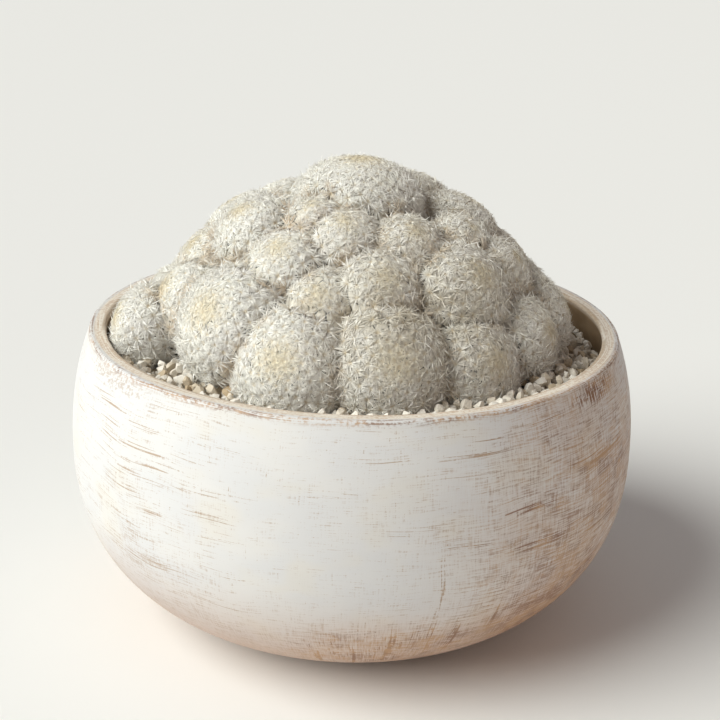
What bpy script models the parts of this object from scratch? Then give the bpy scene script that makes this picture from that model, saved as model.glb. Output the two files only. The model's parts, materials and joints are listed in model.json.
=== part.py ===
"""Feather cactus: a crowded mound of spiny heads on pale gravel, in a round painted bowl.

Metres, +Z up. The origin is the middle of the bowl's foot, and -Y is the front.
"""
import math
import random

import bmesh
import bpy
from mathutils import Vector

MM = 0.001
GAP = 0.3 * MM
MERGE_DISTANCE = 0.05 * MM
SHARP_ANGLE = math.radians(30)

# Bowl: a turned shell on a flat foot, widest some way below a flat lip with eased edges
BOWL_HEIGHT = 110 * MM
BOWL_WIDEST_RADIUS = 105 * MM
BOWL_WIDEST_DROP = 43.5 * MM
BOWL_RIM_RADIUS = 97.4 * MM
BOWL_FOOT_RADIUS = 34 * MM
BOWL_SHOULDER_POWER = 2.34
BOWL_BELLY_POWER = 2.2
BOWL_WALL = 6.3 * MM
BOWL_FLOOR = 8 * MM
BOWL_STEPS = 44
LIP_ROUND = 1.2 * MM
LIP_STEPS = 2

# Fill: soil up to the gravel, and a gravel layer whose top lies below the lip
GRAVEL_DROP = 10 * MM
GRAVEL_DEPTH = 7 * MM
GRAIN_RADIUS = (3.4 * MM, 6.2 * MM)
GRAIN_BLUNT_RADIUS = 5.3 * MM
GRAIN_CORNERS = (0.8, 1)
GRAIN_RISE = (-0.15, 0.25)
GRAIN_SPACING = 0.66
GRAIN_WALL_GAP = 0.8 * MM
GRAIN_HEAD_GAP = 0.9 * MM
GRAIN_RING_START = 0.3
GRAIN_TRIES = 4000
GRAIN_SEED = 4

# Mound: heights are from the lip, and the mound stands a little left of the bowl's middle
MOUND_X = -2 * MM
ROOT_SPREAD = 0.45
AXIS_DEPTH = 26 * MM

# Heads: name, azimuth from the front towards the right in degrees, then in mm the distance
# from the mound's middle, height of the centre and radius, and last the height as a share of
# the width. Each ball swells a little past its radius, and is cut where it meets the next.
HEADS = (
    ("crown", 60, 2.5, 44.6, 18.6, 0.755),
    ("upper_1", -28, 27, 43, 9, 0.78),
    ("upper_2", -4, 31, 38, 11.5, 0.78),
    ("upper_3", 32, 36, 35, 12, 0.78),
    ("upper_4", 66, 42, 35, 9.5, 0.78),
    ("upper_5", 102, 40, 34, 13, 0.78),
    ("upper_6", 141, 34.5, 38.5, 13, 0.78),
    ("upper_7", 178, 31, 36, 13, 0.78),
    ("upper_8", -134, 34, 34.5, 13, 0.78),
    ("upper_9", -106, 40.5, 31, 13.3, 0.78),
    ("upper_10", -64, 38, 36, 12.5, 0.78),
    ("middle_1", -31, 42, 30, 12.5, 0.78),
    ("middle_2", -11, 49, 20, 12.5, 0.78),
    ("middle_3", 12, 47, 25, 13, 0.78),
    ("middle_4", 46, 51, 22, 16, 0.78),
    ("middle_5", 73, 53.5, 23.5, 12, 0.8),
    ("middle_6", 100, 53, 19.5, 14, 0.78),
    ("middle_7", 126, 49, 20, 14, 0.78),
    ("middle_8", 152, 48, 18, 14, 0.78),
    ("middle_9", 180, 46, 20, 13, 0.78),
    ("middle_10", -155, 48, 19, 14, 0.78),
    ("middle_11", -128, 49, 18, 13.5, 0.78),
    ("middle_12", -101, 52.3, 17.5, 13.5, 0.78),
    ("middle_13", -80, 49.5, 22.5, 13, 0.78),
    ("base_1", -40, 58, 11, 17.5, 0.9),
    ("base_2", -17, 61, 3, 18, 0.84),
    ("base_3", 12, 61, 4, 17.5, 0.84),
    ("base_4", 40, 63, 1, 15.5, 0.84),
    ("base_5", 64, 65, 4, 13.5, 0.9),
    ("base_6", 84, 67, 5, 13, 0.9),
    ("base_7", 107, 65, 4, 14.5, 0.84),
    ("base_8", 130, 61, 3, 15, 0.84),
    ("base_9", 152, 59, 2, 14.5, 0.84),
    ("base_10", 174, 59, 3, 15.5, 0.84),
    ("base_11", -163, 59, 2, 14.5, 0.84),
    ("base_12", -140, 61, 3, 15, 0.84),
    ("base_13", -117, 63, 2, 14.5, 0.84),
    ("base_14", -95, 64, 3, 13, 0.84),
    ("base_15", -68, 59, 11.5, 14, 0.84),
    ("base_16", -73, 75, 3, 12.5, 0.84),
)
SWELL = 1.3
FOOT_SHARE = 0.6
TAPER_SAMPLES = 14

# Spine stars: flat-rayed clusters in spiral rows, each raised above the groove round it
STAR_PITCH = 10.6 * MM
STAR_RAYS = 5
RAY_LENGTH = 4.6 * MM
RAY_ROOT = 1.3 * MM
RAY_RISE = 0.5 * MM
HUB_SINK = 0.4 * MM
NOTCH_SINK = 1.4 * MM
GROOVE_SINK = 2.4 * MM
CELL_FILL = 0.86
STAR_FREE_POINTS = 9
STAR_LIMIT = math.radians(125)
FLANK_RINGS = ((150, 4), (180, 1))
FLAT_ANGLE = math.radians(0.5)

GOLDEN_ANGLE = math.pi * (3 - math.sqrt(5))

PAINT_WHITE = (0.80, 0.76, 0.70)
SOIL_BROWN = (0.085, 0.052, 0.032)
PUMICE_CREAM = (0.66, 0.57, 0.46)
SPINE_WHITE = (0.63, 0.58, 0.47)


def clear_scene():
    for obj in list(bpy.data.objects):
        bpy.data.objects.remove(obj, do_unlink=True)


def new_collection(name):
    collection = bpy.data.collections.new(name)
    bpy.context.scene.collection.children.link(collection)
    return collection


def plain_material(name, colour, roughness):
    material = bpy.data.materials.new(name)
    material.use_nodes = True
    surface = material.node_tree.nodes["Principled BSDF"]
    surface.inputs["Base Color"].default_value = (*colour, 1)
    surface.inputs["Roughness"].default_value = roughness
    surface.inputs["Metallic"].default_value = 0
    return material


def new_object(name, mesh, collection, material):
    obj = bpy.data.objects.new(name, mesh)
    mesh.materials.append(material)
    collection.objects.link(obj)
    return obj


def turned_object(name, profile, collection, material):
    """A solid of revolution: the profile runs in the XZ plane from top to bottom."""
    mesh = bpy.data.meshes.new(name)
    edges = [(i, i + 1) for i in range(len(profile) - 1)]
    mesh.from_pydata([(radius, 0, z) for radius, z in profile], edges, [])
    obj = new_object(name, mesh, collection, material)
    screw = obj.modifiers.new("Turn", "SCREW")
    screw.axis = "Z"
    screw.steps = BOWL_STEPS
    screw.render_steps = BOWL_STEPS
    screw.use_merge_vertices = True
    screw.merge_threshold = MERGE_DISTANCE
    screw.use_smooth_shade = True
    return obj


def upper_wall_radius(drop, inset):
    """Radius of the wall between the lip and the widest part."""
    share = (1 - drop / BOWL_WIDEST_DROP) ** BOWL_SHOULDER_POWER
    return BOWL_WIDEST_RADIUS - inset - (BOWL_WIDEST_RADIUS - BOWL_RIM_RADIUS) * share


def belly_point(turn, inset, floor):
    """Point of the curve from the widest part down to the foot; turn runs from 0 to 1."""
    angle = turn * math.pi / 2
    width = BOWL_WIDEST_RADIUS - BOWL_FOOT_RADIUS
    depth = BOWL_HEIGHT - BOWL_WIDEST_DROP - floor
    across = max(math.cos(angle), 0) ** (2 / BOWL_BELLY_POWER)
    down = math.sin(angle) ** (2 / BOWL_BELLY_POWER)
    radius = BOWL_FOOT_RADIUS - inset + width * across
    return radius, BOWL_HEIGHT - BOWL_WIDEST_DROP - depth * down


def wall_profile(inset, floor, top_drop, wall_points, belly_points):
    """Half outline from top_drop below the lip down to the floor's edge."""
    points = []
    for i in range(wall_points):
        drop = top_drop + (BOWL_WIDEST_DROP - top_drop) * i / wall_points
        points.append((upper_wall_radius(drop, inset), BOWL_HEIGHT - drop))
    points += [belly_point(i / belly_points, inset, floor) for i in range(belly_points + 1)]
    return points


def inner_wall():
    return wall_profile(BOWL_WALL, BOWL_FLOOR, LIP_ROUND, 3, 4)


def inside_radius(height):
    """Radius inside the bowl at a height, on the same straight stretches as its wall."""
    wall = inner_wall()
    for (high_radius, high), (low_radius, low) in zip(wall, wall[1:]):
        if low <= height <= high:
            share = (high - height) / (high - low)
            return high_radius + (low_radius - high_radius) * share
    return wall[0][0]


def make_bowl(collection):
    outer = wall_profile(0, 0, LIP_ROUND, 4, 8)
    inner = inner_wall()
    lip = []
    for i in range(1, LIP_STEPS + 1):
        angle = math.pi / 2 * i / LIP_STEPS
        back = LIP_ROUND * (1 - math.cos(angle))
        z = BOWL_HEIGHT - LIP_ROUND + LIP_ROUND * math.sin(angle)
        lip.insert(i - 1, (inner[0][0] + back, z))
        lip.insert(i, (outer[0][0] - back, z))
    profile = [(0, BOWL_FLOOR), *reversed(inner), *lip, *outer, (0, 0)]
    material = plain_material("distressed white paint", PAINT_WHITE, 0.6)
    return turned_object("bowl", profile, collection, material)


def make_soil(collection):
    top = BOWL_HEIGHT - GRAVEL_DROP - GRAVEL_DEPTH - GAP
    side = [(inside_radius(top) - GAP, top)]
    side += [(radius - GAP, z + GAP) for radius, z in inner_wall() if z + GAP < top]
    profile = [(0, top), *side, (0, side[-1][1])]
    material = plain_material("potting soil", SOIL_BROWN, 0.95)
    return turned_object("soil", profile, collection, material)


class Head:
    """One head: a flattened ball that narrows to a foot, cut by planes where heads meet."""

    def __init__(self, name, azimuth, distance, height, radius, flatness):
        angle = math.radians(azimuth)
        across = Vector((math.sin(angle), -math.cos(angle), 0)) * (distance * MM)
        middle = Vector((MOUND_X, 0, 0))
        self.name = "head_" + name
        self.centre = middle + across + Vector((0, 0, BOWL_HEIGHT + height * MM))
        self.reach = radius * MM
        self.radius = self.reach * SWELL
        self.flatness = flatness
        source = middle + Vector((0, 0, BOWL_HEIGHT - AXIS_DEPTH))
        self.axis = (self.centre - source).normalized()
        self.side = self.axis.cross(Vector((0, 1, 0.01))).normalized()
        self.front = self.axis.cross(self.side)
        ground = BOWL_HEIGHT - GRAVEL_DROP + GAP
        self.root = middle + across * ROOT_SPREAD + Vector((0, 0, ground))
        self.planes = [(Vector((0, 0, -1)), -ground)]

    def meet(self, other):
        """Adds the plane, half a gap short of the neighbour's, on which two heads meet."""
        apart = other.centre - self.centre
        span = self.centre.length_squared - self.reach**2
        other_span = other.centre.length_squared - other.reach**2
        distance = (other_span - span) / (2 * apart.length)
        self.planes.append((apart.normalized(), distance - GAP / 2))

    def stretch(self, unit):
        """Turns a unit direction into the step from the centre to the ball's surface."""
        local = self.side * unit.x + self.front * unit.y
        return (local + self.axis * (unit.z * self.flatness)) * self.radius

    def shrink(self, step):
        """The reverse of stretch."""
        local = (step.dot(self.side), step.dot(self.front), step.dot(self.axis) / self.flatness)
        return Vector(local) / self.radius

    def skin(self, unit):
        """Distance to the tapered body's surface along a unit direction, in ball radii."""
        root = self.shrink(self.root - self.centre)
        best = 1.0
        for i in range(1, TAPER_SAMPLES + 1):
            share = i / TAPER_SAMPLES
            middle = root * share
            size = 1 - share * (1 - FOOT_SHARE)
            along = unit.dot(middle)
            inside = along**2 - middle.length_squared + size**2
            if inside > 0:
                best = max(best, along + math.sqrt(inside))
        return best

    def limit(self, unit):
        """Distance along a unit direction to the nearest cutting plane, in ball radii."""
        step = self.stretch(unit)
        best = math.inf
        for normal, offset in self.planes:
            towards = normal.dot(step)
            if towards > 0:
                best = min(best, (offset - normal.dot(self.centre)) / towards)
        return best

    def point(self, unit, sink):
        """Surface point along a unit direction, sunk below the skin and held by the planes."""
        reach = self.skin(unit) - sink / self.radius
        return self.centre + self.stretch(unit) * min(reach, self.limit(unit))

    def is_free(self, unit, sink):
        return self.skin(unit) - sink / self.radius < self.limit(unit)


def spiral_lattice(radius):
    """Unit directions in spiral rows round +Z, at the star pitch, and sparse ones below."""
    area_per_star = STAR_PITCH**2 * math.sqrt(3) / 2
    count = round(4 * math.pi * radius**2 / area_per_star)
    lattice = []
    for i in range(count):
        height = 1 - (2 * i + 1) / count
        if height < math.cos(STAR_LIMIT):
            break
        ring = math.sqrt(1 - height**2)
        turn = i * GOLDEN_ANGLE
        lattice.append(Vector((ring * math.cos(turn), ring * math.sin(turn), height)))
    for angle, ring_count in FLANK_RINGS:
        polar = math.radians(angle)
        for i in range(ring_count):
            turn = 2 * math.pi * i / ring_count
            ring = math.sin(polar)
            spot = (ring * math.cos(turn), ring * math.sin(turn), math.cos(polar))
            lattice.append(Vector(spot))
    return lattice


def lattice_cells(lattice):
    """Groove corners, and for each lattice direction the ring of corners round it."""
    hull = bmesh.new()
    verts = [hull.verts.new(unit) for unit in lattice]
    bmesh.ops.convex_hull(hull, input=verts)
    hull.faces.ensure_lookup_table()
    corners = [face.calc_center_median().normalized() for face in hull.faces]
    hull.faces.index_update()
    rings = [[face.index for face in vert.link_faces] for vert in verts]
    hull.free()
    return corners, rings


def flat_frame(unit):
    """Two axes square to a direction, so that angles between them run anticlockwise."""
    helper = Vector((0, 0, 1)) if abs(unit.z) < 0.9 else Vector((1, 0, 0))
    east = helper.cross(unit).normalized()
    return east, unit.cross(east)


def edge_distance(flat, angle):
    """Distance from the origin to the outline of a ring of flat points, along an angle."""
    x = math.cos(angle)
    y = math.sin(angle)
    best = math.inf
    for i, (ax, ay) in enumerate(flat):
        bx, by = flat[(i + 1) % len(flat)]
        ex = bx - ax
        ey = by - ay
        turn = x * ey - y * ex
        if abs(turn) < 1e-12:
            continue
        distance = (ax * ey - ay * ex) / turn
        share = (ax * y - ay * x) / turn
        if distance > 0 and -1e-6 <= share <= 1 + 1e-6:
            best = min(best, distance)
    return best


def bridge(mesh, inner, outer):
    """Joins two rings of (angle, vertex) round the same middle with triangles."""
    inner = sorted(inner, key=lambda item: item[0])
    outer = sorted(outer, key=lambda item: item[0])
    i = 0
    j = 0
    while i < len(inner) or j < len(outer):
        here = inner[i % len(inner)][1]
        there = outer[j % len(outer)][1]
        next_inner = inner[(i + 1) % len(inner)]
        next_outer = outer[(j + 1) % len(outer)]
        inner_angle = next_inner[0] + (2 * math.pi if i + 1 >= len(inner) else 0)
        outer_angle = next_outer[0] + (2 * math.pi if j + 1 >= len(outer) else 0)
        if j >= len(outer) or (i < len(inner) and inner_angle <= outer_angle):
            mesh.faces.new((here, there, next_inner[1]))
            i += 1
        else:
            mesh.faces.new((here, there, next_outer[1]))
            j += 1


def add_star(mesh, head, unit, flat, outer, first_ray):
    """Fills one groove cell with a raised star, or says that its place is too tight."""
    if not head.is_free(unit, HUB_SINK):
        return False
    east, north = flat_frame(unit)
    ring = []
    for i in range(2 * STAR_RAYS):
        angle = (first_ray + math.pi * i / STAR_RAYS) % (2 * math.pi)
        room = edge_distance(flat, angle) * CELL_FILL
        is_ray = i % 2 == 0
        length = min((RAY_LENGTH if is_ray else RAY_ROOT) / head.radius, room)
        direction = unit + (east * math.cos(angle) + north * math.sin(angle)) * length
        sink = -RAY_RISE if is_ray else NOTCH_SINK
        ring.append((angle, direction.normalized(), sink))
    if sum(head.is_free(step, sink) for _, step, sink in ring) < STAR_FREE_POINTS:
        return False
    hub = mesh.verts.new(head.point(unit, HUB_SINK))
    points = [(angle, mesh.verts.new(head.point(step, sink))) for angle, step, sink in ring]
    points.sort(key=lambda item: item[0])
    for i, (_, vert) in enumerate(points):
        mesh.faces.new((hub, vert, points[(i + 1) % len(points)][1]))
    bridge(mesh, points, outer)
    return True


def merge_flat_faces(mesh):
    """Leaves only the triangles that the flat cuts between heads need."""
    bmesh.ops.dissolve_limit(
        mesh, angle_limit=FLAT_ANGLE, verts=mesh.verts[:], edges=mesh.edges[:]
    )
    bmesh.ops.triangulate(mesh, faces=mesh.faces[:])


def make_head(head, collection, seed):
    lattice = spiral_lattice(head.radius)
    corners, rings = lattice_cells(lattice)
    draws = random.Random(seed)
    mesh = bmesh.new()
    grooves = [mesh.verts.new(head.point(unit, GROOVE_SINK)) for unit in corners]
    for unit, ring in zip(lattice, rings):
        east, north = flat_frame(unit)
        around = []
        for index in ring:
            spread = corners[index] / corners[index].dot(unit) - unit
            x = spread.dot(east)
            y = spread.dot(north)
            around.append((math.atan2(y, x) % (2 * math.pi), (x, y), grooves[index]))
        around.sort(key=lambda item: item[0])
        outer = [(angle, vert) for angle, _, vert in around]
        flat = [spot for _, spot, _ in around]
        first_ray = draws.uniform(0, 2 * math.pi)
        if add_star(mesh, head, unit, flat, outer, first_ray):
            continue
        if head.is_free(unit, HUB_SINK):
            tip = mesh.verts.new(head.point(unit, HUB_SINK))
            for i, (_, vert) in enumerate(outer):
                mesh.faces.new((tip, vert, outer[(i + 1) % len(outer)][1]))
        else:
            mesh.faces.new([vert for _, vert in outer])
    merge_flat_faces(mesh)
    data = bpy.data.meshes.new(head.name)
    mesh.to_mesh(data)
    mesh.free()
    material = plain_material(head.name + " white spines", SPINE_WHITE, 0.85)
    return new_object(head.name, data, collection, material)


def grain_corners(place, radius, draws):
    """Jittered corners of one broken piece of pumice, blunt when it is big."""
    if radius > GRAIN_BLUNT_RADIUS:
        spread = (-1 / math.sqrt(3), 1 / math.sqrt(3))
        units = [Vector((x, y, z)) for x in spread for y in spread for z in spread]
    else:
        units = [Vector(axis) * way for axis in ((1, 0, 0), (0, 1, 0), (0, 0, 1)) for way in (-1, 1)]
    tilt = Vector((draws.uniform(-1, 1), draws.uniform(-1, 1), draws.uniform(-1, 1)))
    turn = tilt.normalized().to_track_quat("Z", "Y").to_matrix()
    return [place + (turn @ unit) * radius * draws.uniform(*GRAIN_CORNERS) for unit in units]


def grain_mesh(name, corners):
    mesh = bmesh.new()
    verts = [mesh.verts.new(corner) for corner in corners]
    hull = bmesh.ops.convex_hull(mesh, input=verts)
    bmesh.ops.delete(mesh, geom=hull["geom_interior"], context="VERTS")
    data = bpy.data.meshes.new(name)
    mesh.to_mesh(data)
    mesh.free()
    return data


def is_clear(head, corner):
    apart = head.shrink(corner - head.centre)
    reach = apart.length - head.skin(apart.normalized())
    return reach * head.radius * head.flatness > GRAIN_HEAD_GAP


def scattered_grains(heads, draws):
    """Seeded grains on the gravel's top, big ones first, clear of the wall and the heads."""
    top = BOWL_HEIGHT - GRAVEL_DROP
    wall = inside_radius(top)
    small, big = GRAIN_RADIUS
    places = []
    grains = []
    for i in range(GRAIN_TRIES):
        radius = big + (small - big) * i / GRAIN_TRIES
        distance = wall * math.sqrt(draws.uniform(GRAIN_RING_START, 1))
        angle = draws.uniform(0, 2 * math.pi)
        place = Vector((distance * math.cos(angle), distance * math.sin(angle), top))
        place.z += radius * draws.uniform(*GRAIN_RISE)
        if any((place - at).length < GRAIN_SPACING * (radius + size) for at, size in places):
            continue
        corners = grain_corners(place, radius, draws)
        if any(corner.xy.length > inside_radius(corner.z) - GRAIN_WALL_GAP for corner in corners):
            continue
        if all(is_clear(head, corner) for head in heads for corner in corners):
            places.append((place, radius))
            grains.append(corners)
    return grains


def make_gravel(collection, cutters, heads):
    top = BOWL_HEIGHT - GRAVEL_DROP
    bottom = top - GRAVEL_DEPTH
    side = [(inside_radius(height) - GAP, height) for height in (top, bottom)]
    profile = [(0, top), *side, (0, bottom)]
    material = plain_material("pumice gravel", PUMICE_CREAM, 0.95)
    gravel = turned_object("gravel", profile, collection, material)
    for i, corners in enumerate(scattered_grains(heads, random.Random(GRAIN_SEED))):
        name = f"grain_{i}"
        grain = bpy.data.objects.new(name, grain_mesh(name, corners))
        grain.hide_render = True
        grain.display_type = "WIRE"
        cutters.objects.link(grain)
    join = gravel.modifiers.new("Grains", "BOOLEAN")
    join.operation = "UNION"
    join.operand_type = "COLLECTION"
    join.collection = cutters
    apply_modifiers(gravel)
    for grain in list(cutters.objects):
        bpy.data.objects.remove(grain, do_unlink=True)
    return gravel


def apply_modifiers(obj):
    graph = bpy.context.evaluated_depsgraph_get()
    mesh = bpy.data.meshes.new_from_object(obj.evaluated_get(graph))
    obj.modifiers.clear()
    obj.data = mesh
    mesh.set_sharp_from_angle(angle=SHARP_ANGLE)


def build():
    clear_scene()
    parts = new_collection("Feather cactus in a bowl")
    cutters = new_collection("Cutters")
    heads = [Head(*row) for row in HEADS]
    for head in heads:
        for other in heads:
            if other is not head:
                head.meet(other)
    make_bowl(parts)
    make_soil(parts)
    make_gravel(parts, cutters, heads)
    for seed, head in enumerate(heads):
        make_head(head, parts, seed)


build()
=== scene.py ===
import json
import math
import random

import bmesh
import bpy
import numpy as np
from mathutils import Matrix, Vector

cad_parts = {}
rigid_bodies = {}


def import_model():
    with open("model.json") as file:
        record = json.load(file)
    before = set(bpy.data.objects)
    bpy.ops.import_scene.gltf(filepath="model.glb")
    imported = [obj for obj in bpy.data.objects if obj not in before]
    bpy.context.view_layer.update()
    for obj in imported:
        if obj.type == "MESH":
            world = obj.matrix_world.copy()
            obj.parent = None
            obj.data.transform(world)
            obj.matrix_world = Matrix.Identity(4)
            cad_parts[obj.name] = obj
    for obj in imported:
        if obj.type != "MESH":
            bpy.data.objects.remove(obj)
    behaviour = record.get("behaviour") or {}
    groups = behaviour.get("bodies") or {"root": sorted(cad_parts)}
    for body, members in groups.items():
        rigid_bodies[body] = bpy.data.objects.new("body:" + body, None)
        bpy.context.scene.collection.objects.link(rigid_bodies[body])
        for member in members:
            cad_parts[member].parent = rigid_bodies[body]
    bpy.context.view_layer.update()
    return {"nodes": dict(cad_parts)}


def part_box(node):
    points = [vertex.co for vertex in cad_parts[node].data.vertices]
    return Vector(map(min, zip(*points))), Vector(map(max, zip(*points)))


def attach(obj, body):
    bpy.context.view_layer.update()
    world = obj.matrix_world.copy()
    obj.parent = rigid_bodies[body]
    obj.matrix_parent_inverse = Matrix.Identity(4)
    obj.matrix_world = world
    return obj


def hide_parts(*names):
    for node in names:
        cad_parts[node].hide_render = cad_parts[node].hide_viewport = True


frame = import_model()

MM = 0.001


# Bowl. A ceramic planter, turned with a flat lip, painted brown and then dry-brushed with white
# and rubbed back, so the brown shows in broken lines both ways, along the lip and low down.
def srgb(code):
    """A hex colour as linear red, green, blue and alpha."""
    parts = [int(code[i:i + 2], 16) / 255 for i in (1, 3, 5)]
    return (*[p / 12.92 if p <= 0.04045 else ((p + 0.055) / 1.055) ** 2.4 for p in parts], 1)


def add(tree, kind, sockets=(), out=0, **settings):
    """Adds a node: its settings, then each socket's value or link. Gives back an output."""
    node = tree.nodes.new(kind)
    for name, value in settings.items():
        setattr(node, name, value)
    pairs = sockets.items() if isinstance(sockets, dict) else enumerate(sockets)
    for name, value in pairs:
        if isinstance(value, bpy.types.NodeSocket):
            tree.links.new(value, node.inputs[name])
        else:
            node.inputs[name].default_value = value
    return node.outputs[out]


def new_material(name):
    """A material, its node tree and its surface shader."""
    material = bpy.data.materials.new(name)
    material.use_nodes = True
    tree = material.node_tree
    return material, tree, tree.nodes["Principled BSDF"]


def plain_copy(obj, name):
    """The evaluated object as a plain mesh object of its own, and the working one removed."""
    graph = bpy.context.evaluated_depsgraph_get()
    mesh = bpy.data.meshes.new_from_object(obj.evaluated_get(graph))
    mesh.name = name
    bpy.data.objects.remove(obj, do_unlink=True)
    piece = bpy.data.objects.new(name, mesh)
    bpy.context.scene.collection.objects.link(piece)
    return piece


def turned_piece(name, outline, steps):
    """A solid of revolution from an outline of (radius, height) points, top to bottom."""
    mesh = bpy.data.meshes.new(name)
    edges = [(i, i + 1) for i in range(len(outline) - 1)]
    mesh.from_pydata([(radius, 0, height) for radius, height in outline], edges, [])
    turning = bpy.data.objects.new(name, mesh)
    bpy.context.scene.collection.objects.link(turning)
    screw = turning.modifiers.new("Turn", "SCREW")
    screw.axis = "Z"
    screw.steps = screw.render_steps = steps
    screw.use_merge_vertices = True
    screw.merge_threshold = 0.02 * MM
    return plain_copy(turning, name)


_, bowl_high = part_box("bowl")
BOWL_RADIUS = bowl_high[0]
LIP_HEIGHT = bowl_high[2]
WIDEST_DROP = 43.5 * MM
LIP_RADIUS = 97.4 * MM
FOOT_RADIUS = 34 * MM
SHOULDER_POWER = 2.34
BELLY_POWER = 2.2
WALL = 6.3 * MM
FLOOR = 8 * MM
LIP_EASE = 1.2 * MM
TURN_STEPS = 256
EASE_STEPS = 6
INNER_STEPS = (12, 10)
OUTER_STEPS = (14, 44)


def wall_radius(drop):
    """The wall's outer radius at a drop below the lip, down to its widest place."""
    share = 1 - drop / WIDEST_DROP
    return BOWL_RADIUS - (BOWL_RADIUS - LIP_RADIUS) * share**SHOULDER_POWER


def wall_outline(inset, floor, steps):
    """Points of one face of the wall, from under the lip's eased edge down to the foot."""
    wall_points, belly_points = steps
    points = []
    for i in range(wall_points):
        drop = LIP_EASE + (WIDEST_DROP - LIP_EASE) * i / wall_points
        points.append((wall_radius(drop) - inset, LIP_HEIGHT - drop))
    depth = LIP_HEIGHT - WIDEST_DROP - floor
    for i in range(belly_points + 1):
        angle = math.pi / 2 * i / belly_points
        across = max(math.cos(angle), 0) ** (2 / BELLY_POWER)
        down = math.sin(angle) ** (2 / BELLY_POWER)
        radius = FOOT_RADIUS - inset + (BOWL_RADIUS - FOOT_RADIUS) * across
        points.append((radius, LIP_HEIGHT - WIDEST_DROP - depth * down))
    return points


edge_in = wall_radius(LIP_EASE) - WALL
edge_out = wall_radius(LIP_EASE)
rising = []
falling = []
for step in range(1, EASE_STEPS + 1):
    swing = math.pi / 2 * step / EASE_STEPS
    back = LIP_EASE * (1 - math.cos(swing))
    height = LIP_HEIGHT - LIP_EASE * (1 - math.sin(swing))
    rising.append((edge_in + back, height))
    falling.insert(0, (edge_out - back, height))
flat_width = WALL - 2 * LIP_EASE
flat_lip = [(edge_in + LIP_EASE + flat_width * share, LIP_HEIGHT) for share in (0.25, 0.5, 0.75)]
inner = [(0, FLOOR), *reversed(wall_outline(WALL, FLOOR, INNER_STEPS))]
outer = [*wall_outline(0, 0, OUTER_STEPS), (0, 0)]
outline = [*inner, *rising, *flat_lip, *falling, *outer]
painted_bowl = turned_piece("painted_bowl", outline, TURN_STEPS)
painted_bowl.data.shade_smooth()

# Distance along the outline from the lip's outer edge: above zero down the outside, and below
# zero over the lip and down the inside
lengths = [0.0]
for (r0, z0), (r1, z1) in zip(outline, outline[1:]):
    lengths.append(lengths[-1] + math.hypot(r1 - r0, z1 - z0))
lip_edge = lengths[len(inner) + len(rising) + len(flat_lip) + len(falling) // 2]
spots = np.array([vert.co for vert in painted_bowl.data.vertices])
flat = np.stack([np.hypot(spots[:, 0], spots[:, 1]), spots[:, 2]], axis=1)
nearest = np.argmin(((flat[:, None, :] - np.array(outline)[None]) ** 2).sum(axis=2), axis=1)
along = painted_bowl.data.attributes.new("along", "FLOAT", "POINT")
along.data.foreach_set("value", np.array(lengths)[nearest] - lip_edge)

PAINT = srgb("#E1DEDB")
COOL_PAINT = srgb("#D9D8D9")
CREAM_PAINT = srgb("#E1DBD1")
RUBBED_TAN_AND_SHADE = srgb("#C3A48C")
PAINTED_LOW_SHADE = srgb("#C19C84")
BROWN = srgb("#855A3A")
TAN = srgb("#B68B60")
PALE_TAN = srgb("#B0947A")
LIP_CREAM = srgb("#EEE4D6")
LIP_TAN = srgb("#B39A7C")
INSIDE = srgb("#9C8264")

# Worn places, the right and foot ones also under painted shade: azimuth in degrees, distance below the
# lip's edge, half width and half height in mm
RIGHT_SIDE = (60, 48, 98, 90)
RIGHT_LIP = (57, 4, 38, 8.5)
LEFT_LIP = (-54, 3, 42, 8)
LEFT_LOW = (-42, 58, 34, 20)
LEFT_SIDE = (-48, 22, 50, 22)
FOOT_FRONT = (8, 92, 54, 30)
FOOT_RIGHT = (45, 88, 60, 40)
STREAKS = ((20, 13, 26, 2.0), (43, 47.5, 34, 2.6), (62, 52, 30, 1.6), (26, 9, 12, 1.5), (33, 34, 16, 2),
           (55, 26, 30, 4))
LEFT_STREAKS = ((-24, 37, 16, 4), (-41, 21, 18, 3), (-36, 62, 24, 3), (-48, 12, 24, 3))
SCRATCHES = ((17, 64, 2.0, 44), (9, 88, 2.5, 20), (22, 84, 2, 20), (-6, 98, 3, 13), (2, 96, 2, 16),
             (30, 78, 1.8, 16))

# Bands of distance along the wall, where a tint or wear fades in from the first to the second
LINEN_BAND = (56 * MM, 96 * MM)
LOW_SHADE_BAND = (52 * MM, 104 * MM)
WASH_AND_SHADE_BAND = (60 * MM, 125 * MM)
EDGE_BELOW = (2.6 * MM, 0.2 * MM)
EDGE_ABOVE = (-1.6 * MM, -0.8 * MM)
LIP_BAND = (-1.2 * MM, -2.2 * MM)
INNER_EDGE_BAND = (-4.1 * MM, -4.9 * MM)
INSIDE_BAND = (-7.2 * MM, -8.6 * MM)

# The values of the noise between which each kind of wear starts to show, and how fully it shows
LINEN_SHOWS, LINEN_DEPTH = (0.66, 0.82), 0.6
STROKES_SHOW, STROKES_DEPTH = (0.79, 0.835), 0.85
COMBED_SHOWS, COMBED_DEPTH = (0.645, 0.69), 0.8
TICKS_SHOW, TICKS_DEPTH = (0.64, 0.7), 0.95
SPECKS_SHOW, SPECKS_DEPTH = (0.58, 0.66), 0.5
EDGE_SHOWS, EDGE_DEPTH = (0.46, 0.58), 0.8


def paint_space(tree):
    """The wall unrolled without a seam: around in X and Y, along the wall in Z, in metres."""
    place = add(tree, "ShaderNodeTexCoord", out=3)
    level = add(tree, "ShaderNodeVectorMath", [place, (1, 1, 0)], operation="MULTIPLY")
    turn = add(tree, "ShaderNodeVectorMath", [level], operation="NORMALIZE")
    ring = add(tree, "ShaderNodeVectorMath", {0: turn, 3: BOWL_RADIUS}, operation="SCALE")
    distance = add(tree, "ShaderNodeAttribute", out=2, attribute_name="along")
    height = add(tree, "ShaderNodeCombineXYZ", [0.0, 0.0, distance])
    return add(tree, "ShaderNodeVectorMath", [ring, height], operation="ADD"), distance


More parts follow.
